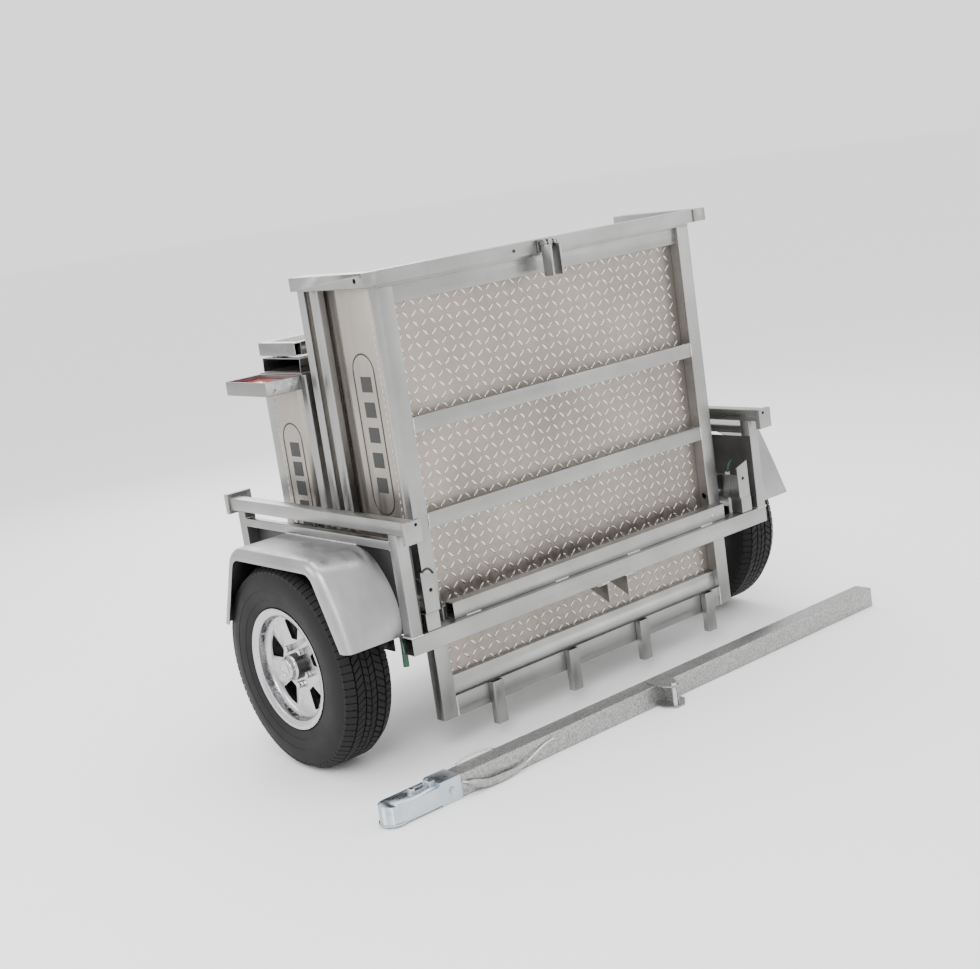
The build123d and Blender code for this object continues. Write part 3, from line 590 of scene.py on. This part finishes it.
class TRAILER_OT_tread_plate(bpy.types.Operator):
    """Raised lugs on the outer face of both deck plates."""
    bl_idname = "trailer.tread_plate"
    bl_label = "Tread Plate"

    def execute(self, context):
        for name, way in (("front_bed", -1), ("rear_bed", 1)):
            low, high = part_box(f"{name}_deck_plate")
            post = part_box(f"{name}_posts")
            face = low.y if way < 0 else high.y
            inner = (post[1].x - 0.051) - 0.010
            tall = high.z - low.z - 0.03
            rows = 2 * int(tall / sizes().lug_pitch / 2)
            columns = 2 * int(2 * inner / sizes().lug_pitch / 2)
            across, upward = 2 * inner / columns, tall / rows
            bm = bmesh.new()
            made = []
            for i, j in ((0, 0), (1, 0), (0, 1), (1, 1)):
                turn = math.radians(45 if (i + j) % 2 else -45)
                place = Matrix.Translation((-inner + (i + 0.5) * across, face, low.z + 0.015 + (j + 0.5) * upward))
                lug = bmesh.ops.create_uvsphere(bm, u_segments=6, v_segments=4, radius=1)["verts"]
                bmesh.ops.scale(bm, vec=(0.0034, sizes().lug_height, sizes().lug_length / 2), verts=lug)
                bmesh.ops.transform(bm, matrix=place @ Matrix.Rotation(turn, 4, "Y"), verts=lug)
                made += lug
            row = in_line(bm, made, (2 * across, 0, 0), columns // 2 - 1)
            in_line(bm, row, (0, 0, 2 * upward), rows // 2 - 1)
            # The lugs take the lighter lug finish, which paints a glint on them.
            piece(f"{name}_lugs", bm, name, "tread_plate", "lug", smooth=70)
        return {"FINISHED"}


class TRAILER_OT_fenders(bpy.types.Operator):
    """Both fenders: one sheet each, its outer edge rolled down and its foot drawn in to the frame."""
    bl_idname = "trailer.fenders"
    bl_label = "Fenders"

    def execute(self, context):
        for side, name in ((1, "right"), (-1, "left")):
            bm = bmesh.new()
            self.sheet(bm)
            if side < 0:
                bmesh.ops.scale(bm, vec=(-1, 1, 1), verts=bm.verts)
            bmesh.ops.recalc_face_normals(bm, faces=bm.faces)
            fender = piece(f"{name}_fender", bm, "chassis", "fender_sheet", "fender", smooth=60)
            if side > 0:
                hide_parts("fenders")
        return {"FINISHED"}

    @staticmethod
    def path(inset):
        """The arch seen from the side, a distance inside its outer face, as (y, z) places."""
        low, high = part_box("fenders")
        top, foot = high.z - inset, low.z
        front, back = low.y, high.y
        lean, bend = 0.108, 0.075
        run = top + inset - foot
        slope = math.atan2(run, lean)
        points = []
        for way, y0 in ((-1, front), (1, back)):
            shift = inset / math.sin(slope)
            foot_y = y0 - way * shift
            corner_y = y0 - way * (lean + shift - inset / math.tan(slope))
            size = bend - inset
            cut = size * math.tan(slope / 2)
            down = Vector((way * lean, -run)).normalized()
            centre = Vector((corner_y - way * cut, top - size))
            arc = []
            for k in range(9):
                turn = slope * k / 8
                arc.append((centre.x + way * size * math.sin(turn), centre.y + size * math.cos(turn)))
            last = Vector(arc[-1])
            slant = [tuple(last.lerp(Vector((foot_y, foot)), k / 8)) for k in range(1, 9)]
            points.append(arc + slant)
            del down
        left, right = points
        flat = [
            (left[0][0] + (right[0][0] - left[0][0]) * k / 10, top) for k in range(1, 10)
        ]
        return list(reversed(left)) + flat + right

    def sheet(self, bm):
        low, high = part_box("fenders")
        outer, roll, lip = high.x, 0.024, 0.010
        inner = CHASSIS_X + 0.0005
        section = [(inner + (outer - roll - inner) * k / 8, 0.0) for k in range(9)]
        section += [
            (outer - roll + roll * math.sin(a), roll * (1 - math.cos(a)))
            for a in (math.radians(15 * k) for k in range(1, 7))
        ]
        section.append((outer, roll + lip))
        columns = []
        for x, inset in section:
            share = (x - inner) / (outer - inner)
            column = []
            for y, z in self.path(inset):
                fall = min(1, max(0, (high.z - z) / (high.z - low.z)))
                pull = 0.050 * math.sin(math.pi * fall) ** 0.8 * (1 - share) if y < AXLE_Y else 0
                column.append(bm.verts.new((x, y - pull, z)))
            columns.append(column)
        edges = []
        for column in columns:
            edges.append([bm.edges.new(pair) for pair in zip(column, column[1:])])
        for a, b in zip(edges, edges[1:]):
            bmesh.ops.bridge_loops(bm, edges=a + b)
        bmesh.ops.recalc_face_normals(bm, faces=bm.faces)
        bmesh.ops.solidify(bm, geom=bm.faces, thickness=0.0025)


class TRAILER_OT_bodywork(bpy.types.Operator):
    """Rounds the corners of the tubes, sheets and brackets."""
    bl_idname = "trailer.bodywork"
    bl_label = "Bodywork"

    def execute(self, context):
        corner = sizes().tube_corner
        tubes = {
            "tube_x": (
                "cross_tubes", "bolsters", "front_bed_cross_members", "rear_bed_cross_members",
                "front_end_frame", "rear_end_frame", "rear_end_sill",
            ),
            "tube_y": ("side_rails", "top_rails", "rail_end_blocks", "lamp_guards"),
            "tube_z": (
                "side_posts", "front_bed_posts", "rear_bed_posts", "front_bed_fingers", "pivot_stands",
                "front_bed_wall_rails", "rear_bed_wall_rails",
            ),
        }
        for finish, nodes in tubes.items():
            for node in nodes:
                rounded_copy(node, corner, finish)
        for node in ("pivot_brackets", "drawbar_receiver", "clevis_bracket", "clevis_ears", "rear_end_ledge"):
            rounded_copy(node, 0.0012, "tube_z", fine=0.0004)
        for node in ("front_bed_side_walls", "rear_bed_side_walls"):
            rounded_copy(node, 0.0008, "sheet", fine=0)
        rounded_copy("drawbar_tube", 0.004, "steel")
        rounded_copy("drawbar_bracket", 0.0015, "steel")
        rounded_copy("coupler_body", 0.0045, "zinc", least=0.012, angle=40)
        rounded_copy("coupler_latch", 0.0014, "zinc", least=0.008, fine=0.0004)
        rounded_copy("bracket_pin", 0.0012, "bolt", least=0.002, angle=60, fine=0)
        rounded_copy("coupler_fittings", 0.0012, "bolt", least=0.002, angle=60, fine=0)
        return {"FINISHED"}


class TRAILER_OT_welds(bpy.types.Operator):
    """Weld beads where the tubes meet, stitch welds on the side walls, rivets and screws."""
    bl_idname = "trailer.welds"
    bl_label = "Welds"

    def execute(self, context):
        wobble = random.Random(7)
        r = sizes().weld_radius
        for name, way in (("front_bed", -1), ("rear_bed", 1)):
            bm = bmesh.new()
            post_low, post_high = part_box(f"{name}_posts")
            face = post_low.y if way < 0 else post_high.y
            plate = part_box(f"{name}_deck_plate")
            inner = post_high.x - 0.051
            first, pitch, tall = 0.974, 0.272, 0.039
            for k in range(3 if way < 0 else 2):
                top = first - k * pitch
                for x in (-inner, inner):
                    weld(bm, (x, face, top), (x, face, top - tall), r, wobble)
                    weld(bm, (x, face, top), (x, face - way * 0.034, top), r * 0.9, wobble)
            for x in (-inner, inner):
                weld(bm, (x, face, post_low.z + 0.002), (x, face, post_low.z + 0.06), r, wobble)
            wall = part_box(f"{name}_side_walls")
            seam_y = plate[1].y + 0.006 if way < 0 else plate[0].y - 0.006
            made = []
            for x in (wall[0].x, wall[1].x):
                for k in range(5):
                    at = Matrix.Translation((x, seam_y, wall[0].z + 0.02 + 0.002 * k))
                    size = r * wobble.uniform(0.5, 0.6)
                    made += bmesh.ops.create_icosphere(bm, subdivisions=1, radius=size, matrix=at)["verts"]
            in_line(bm, made, (0, 0, 0.021), int((wall[1].z - wall[0].z - 0.05) / 0.021))
            piece(f"{name}_welds", bm, name, "mill_aluminium", "weld", smooth=60)
        self.chassis(wobble, r)
        return {"FINISHED"}

    @staticmethod
    def chassis(wobble, r):
        bm = bmesh.new()
        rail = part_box("side_rails")
        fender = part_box("fenders")
        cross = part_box("cross_tubes")
        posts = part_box("side_posts")
        for side in (-1, 1):
            x = side * (CHASSIS_X + 0.001)
            weld(bm, (x, fender[0].y + 0.15, fender[1].z + 0.001), (x, fender[1].y - 0.15, fender[1].z + 0.001),
                 r * 0.8, wobble)
            for y in (posts[0].y, posts[1].y):
                inward = 0.038 if y < 0 else -0.038
                for dx in (0, 0.038):
                    weld(bm, (side * (CHASSIS_X - dx), y, cross[1].z), (side * (CHASSIS_X - dx), y + inward, cross[1].z),
                         r, wobble)
                weld(bm, (side * CHASSIS_X, y, cross[1].z), (side * (CHASSIS_X - 0.038), y, cross[1].z), r, wobble)
                for z in (0.653, 0.678):
                    weld(bm, (side * CHASSIS_X, y + inward, z), (side * (CHASSIS_X - 0.025), y + inward, z),
                         r * 0.7, wobble)
        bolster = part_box("bolsters")
        y = bolster[0].y
        for x in (-0.52, -0.18, 0.12, 0.45):
            weld(bm, (x, y, bolster[0].z), (x + 0.05, y, bolster[0].z), r, wobble)
        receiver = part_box("drawbar_receiver")
        for x in (receiver[0].x + 0.02, receiver[1].x - 0.05):
            weld(bm, (x, cross[0].y, cross[0].z), (x + 0.03, cross[0].y, cross[0].z), r, wobble)
        for side in (-1, 1):
            for k in range(3):
                for y in (cross[0].y, ):
                    dome(bm, (side * 0.6975, y + 0.09 + 0.05 * k, 0.47 + 0.05 * k), 0.005, 0.003, "X")
        dome(bm, (0.505, bolster[0].y - 0.0005, bolster[0].z + 0.022), 0.006, 0.003)
        del rail
        piece("chassis_welds", bm, "chassis", "mill_aluminium", "weld", smooth=60)

        # A black disc on the front end frame's bar stands for a hole: painted shade where the hole falls dark.
        bm = bmesh.new()
        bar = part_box("front_end_frame")
        face = bar[0].y + 0.003
        rod(bm, (-0.132, face + 0.002, bar[1].z - 0.02), (-0.132, face - 0.0003, bar[1].z - 0.02), 0.005, 16)
        piece("end_frame_hole_painted_shade", bm, "front_bed", "mill_aluminium", "black_steel", smooth=40)

        bm = bmesh.new()
        guard_low, guard_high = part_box("lamp_guards")
        for x in (guard_low.x + 0.03, guard_low.x + 0.09, guard_high.x - 0.03, guard_high.x - 0.09):
            dome(bm, (x, guard_low.y - 0.0005, guard_low.z + 0.02), 0.003, 0.0015)
        piece("lamp_guard_rivets", bm, "rear_bed", "mill_aluminium", "bolt", smooth=60)


class TRAILER_OT_markings(bpy.types.Operator):
    """A plain dark marking on each side wall."""
    bl_idname = "trailer.markings"
    bl_label = "Markings"

    def execute(self, context):
        for name, way, tall, top in (("front_bed", -1, 0.36, 0.13), ("rear_bed", 1, 0.30, 0.10)):
            low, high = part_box(f"{name}_side_walls")
            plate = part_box(f"{name}_deck_plate")
            deck = plate[1].y if way < 0 else plate[0].y
            skin = 0.163 if way < 0 else 0.139
            middle = deck - way * skin * 0.52
            z1 = high.z - top - 0.10
            bm = bmesh.new()
            for side in (-1, 1):
                x = side * high.x
                thick = 0.0005
                half = 0.050
                for y in (middle - half, middle + half):
                    cube(bm, (x - thick, y - 0.0028, z1 - tall), (x + thick, y + 0.0028, z1))
                for z, way in ((z1 - tall, 1), (z1, -1)):
                    arc = [Vector((x, middle + half * math.cos(a), z - way * half * math.sin(a)))
                           for a in (math.pi * k / 12 for k in range(13))]
                    for a, b in zip(arc, arc[1:]):
                        rod(bm, a, b, 0.0028, 8)
                    ends = [v for v in bm.verts if abs(v.co.x - x) < 0.0028 + 1e-6 and abs(v.co.z - z) <= half + 0.01]
                    for v in ends:
                        v.co.x = max(x - thick, min(x + thick, v.co.x))
                for k in range(5):
                    z = z1 - tall * (k + 0.5) / 5
                    cube(bm, (x - thick, middle - 0.030, z - 0.022), (x + thick, middle + 0.020, z + 0.022))
            piece(f"{name}_markings", bm, name, "brushed_sheet", "decal", smooth=30)
        return {"FINISHED"}


class TRAILER_OT_wires(bpy.types.Operator):
    """The lighting loom on both front posts."""
    bl_idname = "trailer.wires"
    bl_label = "Wiring"

    def execute(self, context):
        x, y, foot = -682.0, -412.0 + 18, 407.3
        black = [
            (-694.2, y, 652), (-687, y, 650), (x, y, 642), (x - 2, y - 1, 620), (x - 1, y, 580), (x - 4, y, 520),
            (x - 2, y + 1, 460), (x - 4, y, foot),
        ]
        green = [
            (-693.5, y + 9, 636), (-687, y + 9, 634), (x + 2, y + 8, 625), (x + 3, y + 8, 605),
            (x + 1, y + 9, 560), (x + 3, y + 8, 500), (x + 1, y + 8, 455), (x + 2, y + 8, foot),
        ]
        y -= 6.2
        hook = [(x + 9, y, 550), (x + 14, y, 566), (x + 30, y, 579), (x + 48, y, 579), (x + 58, y, 562)]
        loom = curve_piece("post_wires", [metres(black), metres(hook)], 0.0035, "chassis",
                           "black_wire")
        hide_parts("wiring")
        tx, ty = -728.0, -412.0 + 51 + 5.3
        trunk = [(tx, ty, 404), (tx + 1, ty, 380), (tx, ty, 350), (tx - 1, ty, 318)]
        curve_piece("green_trunk", [metres(trunk)], 0.009, "chassis", "green_wire")
        curve_piece("green_post_wire", [metres(green)], 0.003, "chassis", "green_wire")
        for name, dx, bow in (("red", 0, 16), ("yellow", 5, 11)):
            arc = [(tx + dx, ty, 396), (tx + dx - bow, ty + 2, 415), (tx + dx - bow - 2, ty + 2, 440),
                   (tx + dx - 4, ty + 2, 462), (tx + dx + 8, ty + 2, 470)]
            curve_piece(f"{name}_lead", [metres(arc)], 0.0022, "chassis", f"{name}_wire")
        cx, cy, top = 635.3 + 8 - 2 - 3.5 - 0.3, -352.7, 541.0
        lead = [
            (cx, cy, top - 60), (cx - 1, cy, top - 28), (cx, cy, top + 6), (cx + 12, cy + 2, top + 26),
            (cx + 34, cy + 6, top + 32),
        ]
        curve_piece("right_lead", [metres(lead)], 0.0035, "chassis", "green_wire")
        return {"FINISHED"}


class TRAILER_OT_springs(bpy.types.Operator):
    """The rubber springs, grooved columns that narrow towards their foot."""
    bl_idname = "trailer.springs"
    bl_label = "Springs"

    def execute(self, context):
        low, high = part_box("rubber_springs")
        top_r, foot_r, ring = 0.023, 0.015, 5
        for side, name in ((1, "right"), (-1, "left")):
            x, y = side * (high.x - top_r), (low.y + high.y) / 2
            profile = []
            for k in range(ring * 4 + 1):
                share = k / (ring * 4)
                groove = 0.0018 * math.cos(2 * math.pi * share * ring)
                wide = foot_r + (top_r - foot_r) * share - 0.0018 + groove
                profile.append((wide, low.z + (high.z - low.z) * share))
            bm = bmesh.new()
            outline = [(0, low.z), *profile, (0, high.z)]
            verts = [bm.verts.new((x + r, y, z)) for r, z in outline]
            edges = [bm.edges.new(pair) for pair in zip(verts, verts[1:])]
            bmesh.ops.spin(bm, geom=verts + edges, cent=(x, y, 0), axis=(0, 0, 1), angle=2 * math.pi, steps=32,
                           use_merge=True)
            bmesh.ops.remove_doubles(bm, verts=bm.verts, dist=1e-6)
            bmesh.ops.recalc_face_normals(bm, faces=bm.faces)
            spring = piece(f"{name}_rubber_spring", bm, "chassis", "spring_rubber", "spring", smooth=60)
            if side > 0:
                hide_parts("rubber_springs")
            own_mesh(spring)
        return {"FINISHED"}


class TRAILER_OT_stage(bpy.types.Operator):
    """A pale floor, soft studio light and the camera."""
    bl_idname = "trailer.stage"
    bl_label = "Stage"

    def execute(self, context):
        bm = bmesh.new()
        bmesh.ops.create_grid(bm, x_segments=1, y_segments=1, size=55)
        mesh = bpy.data.meshes.new("studio_floor")
        bm.to_mesh(mesh)
        bm.free()
        floor = bpy.data.objects.new("studio_floor", mesh)
        context.scene.collection.objects.link(floor)
        mesh.materials.append(new_material("pale floor", (0.95, 0.95, 0.95), 0.8)[0])

        world = bpy.data.worlds.new("studio")
        world.use_nodes = True
        world.node_tree.nodes["Background"].inputs["Color"].default_value = (1.0, 1.0, 1.0, 1)
        world.node_tree.nodes["Background"].inputs["Strength"].default_value = 1.6
        context.scene.world = world
        for name, place, energy, size in (
            ("key", (-3.2, -3.0, 3.6), 120, 2.0),
            ("side", (-4.0, 1.4, 2.4), 50, 2.0),
            ("fill", (3.4, -3.0, 2.2), 30, 2.4),
            ("top", (0.3, 0.4, 4.2), 110, 3.0),
            ("back", (1.5, 4.0, 2.6), 70, 2.4),
        ):
            light = bpy.data.lights.new(name, "AREA")
            light.energy = energy
            light.size = size
            lamp = bpy.data.objects.new(name, light)
            lamp.location = place
            lamp.rotation_euler = (Vector((0, 0, 0.6)) - Vector(place)).to_track_quat("-Z", "Y").to_euler()
            context.scene.collection.objects.link(lamp)

        right, up = Vector((0.75858, -0.63565, -0.14316)), Vector((0.23844, 0.06635, 0.96889))
        back = right.cross(up)
        turn = Matrix((right, up, back)).transposed().to_4x4()
        camera = bpy.data.objects.new("camera", bpy.data.cameras.new("camera"))
        camera.data.sensor_width = 36
        camera.data.lens = 57.38
        camera.data.clip_end = 200
        camera.matrix_world = Matrix.Translation((-3.0407, -3.6836, 1.6370)) @ turn
        context.scene.collection.objects.link(camera)
        context.scene.camera = camera
        return {"FINISHED"}


STEPS = (
    TRAILER_OT_finishes, TRAILER_OT_stage, TRAILER_OT_cables, TRAILER_OT_tyres, TRAILER_OT_rims,
    TRAILER_OT_tread_plate, TRAILER_OT_fenders, TRAILER_OT_bodywork, TRAILER_OT_welds,
    TRAILER_OT_markings, TRAILER_OT_wires, TRAILER_OT_springs,
)


class TRAILER_PT_panel(bpy.types.Panel):
    """Lists the trailer's steps and settings."""
    bl_label = "Folding Trailer"
    bl_idname = "TRAILER_PT_panel"
    bl_space_type = "VIEW_3D"
    bl_region_type = "UI"
    bl_category = "Trailer"

    def draw(self, context):
        for step in STEPS:
            self.layout.operator(step.bl_idname)
        for group in (context.scene.trailer_sizes, context.scene.trailer_colours):
            for name in group.bl_rna.properties.keys():
                if name not in ("rna_type", "name"):
                    self.layout.prop(group, name)


CLASSES = (TrailerSizes, TrailerColours, *STEPS, TRAILER_PT_panel)


def register():
    for cls in CLASSES:
        bpy.utils.register_class(cls)
    bpy.types.Scene.trailer_sizes = bpy.props.PointerProperty(type=TrailerSizes)
    bpy.types.Scene.trailer_colours = bpy.props.PointerProperty(type=TrailerColours)


def unregister():
    del bpy.types.Scene.trailer_colours
    del bpy.types.Scene.trailer_sizes
    for cls in reversed(CLASSES):
        bpy.utils.unregister_class(cls)


def main():
    register()
    for step in STEPS:
        group, name = step.bl_idname.split(".")
        getattr(getattr(bpy.ops, group), name)()
    bpy.context.view_layer.update()


if __name__ == "__main__":
    main()
